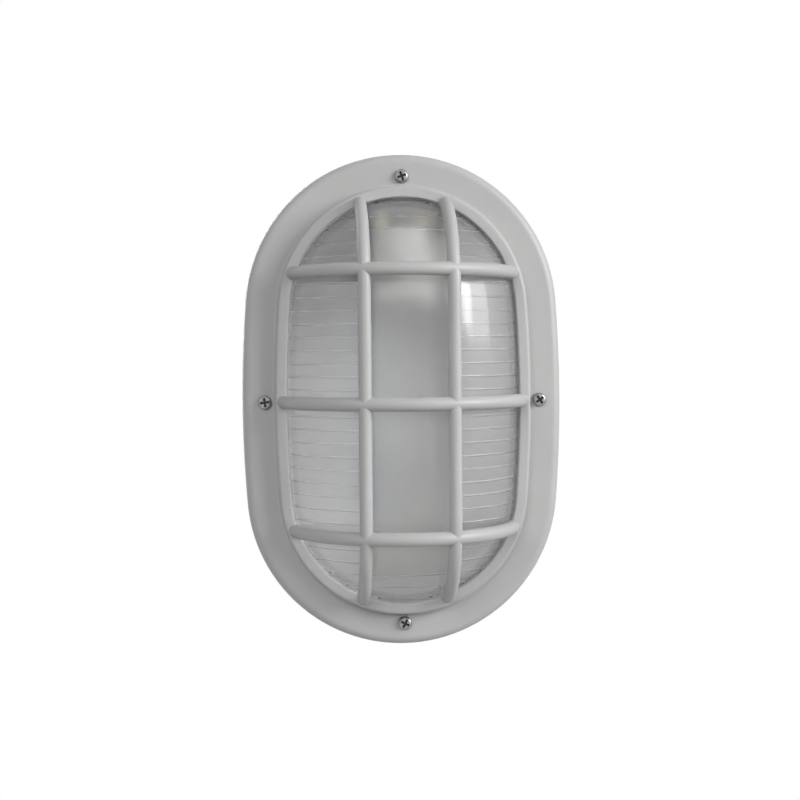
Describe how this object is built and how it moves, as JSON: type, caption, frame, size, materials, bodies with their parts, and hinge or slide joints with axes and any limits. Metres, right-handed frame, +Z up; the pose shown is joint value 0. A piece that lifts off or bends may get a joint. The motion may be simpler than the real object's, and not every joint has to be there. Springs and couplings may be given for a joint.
{
  "type": "bulkhead light",
  "caption": "Oval wall light with a domed, ribbed glass behind a barred guard, screwed to a moulded base that holds a screw lampholder.",
  "frame": {"origin": "centre of the base's back face, on the wall plane", "axes": "+Z up along the oval's long axis, -Y out of the wall towards the viewer, +X to the viewer's right"},
  "size_m": [0.166, 0.095, 0.255],
  "materials": {
    "housing_plastic": "satin, light grey, fine grain",
    "lens_glass": "clear pressed glass, ribbed inside",
    "rubber": "matt",
    "zinc_steel": "zinc plated",
    "porcelain": "glazed white",
    "brass": "bright",
    "brown_insulation": "glossy sleeve",
    "blue_insulation": "glossy sleeve",
    "block_plastic": "matt off-white"
  },
  "bodies": {
    "root": {"base": "housing_plastic", "cable_grommet": "rubber", "conduit_plugs": "housing_plastic", "lens_gasket": "rubber", "lens": "lens_glass", "guard_frame": "housing_plastic", "cover_screws": "zinc_steel", "holder_bracket": "zinc_steel", "bracket_screws": "zinc_steel", "holder_body": "porcelain", "holder_screws": "zinc_steel", "screw_shell": "brass", "centre_contact": "brass", "contact_screws": "brass", "wire_terminals": "brass", "wire_screws": "zinc_steel", "live_lead": "brown_insulation", "neutral_lead": "blue_insulation", "terminal_block": "block_plastic", "pole_inserts": "brass", "pole_screws": "zinc_steel", "block_screw": "zinc_steel"}
  },
  "joints": []
}
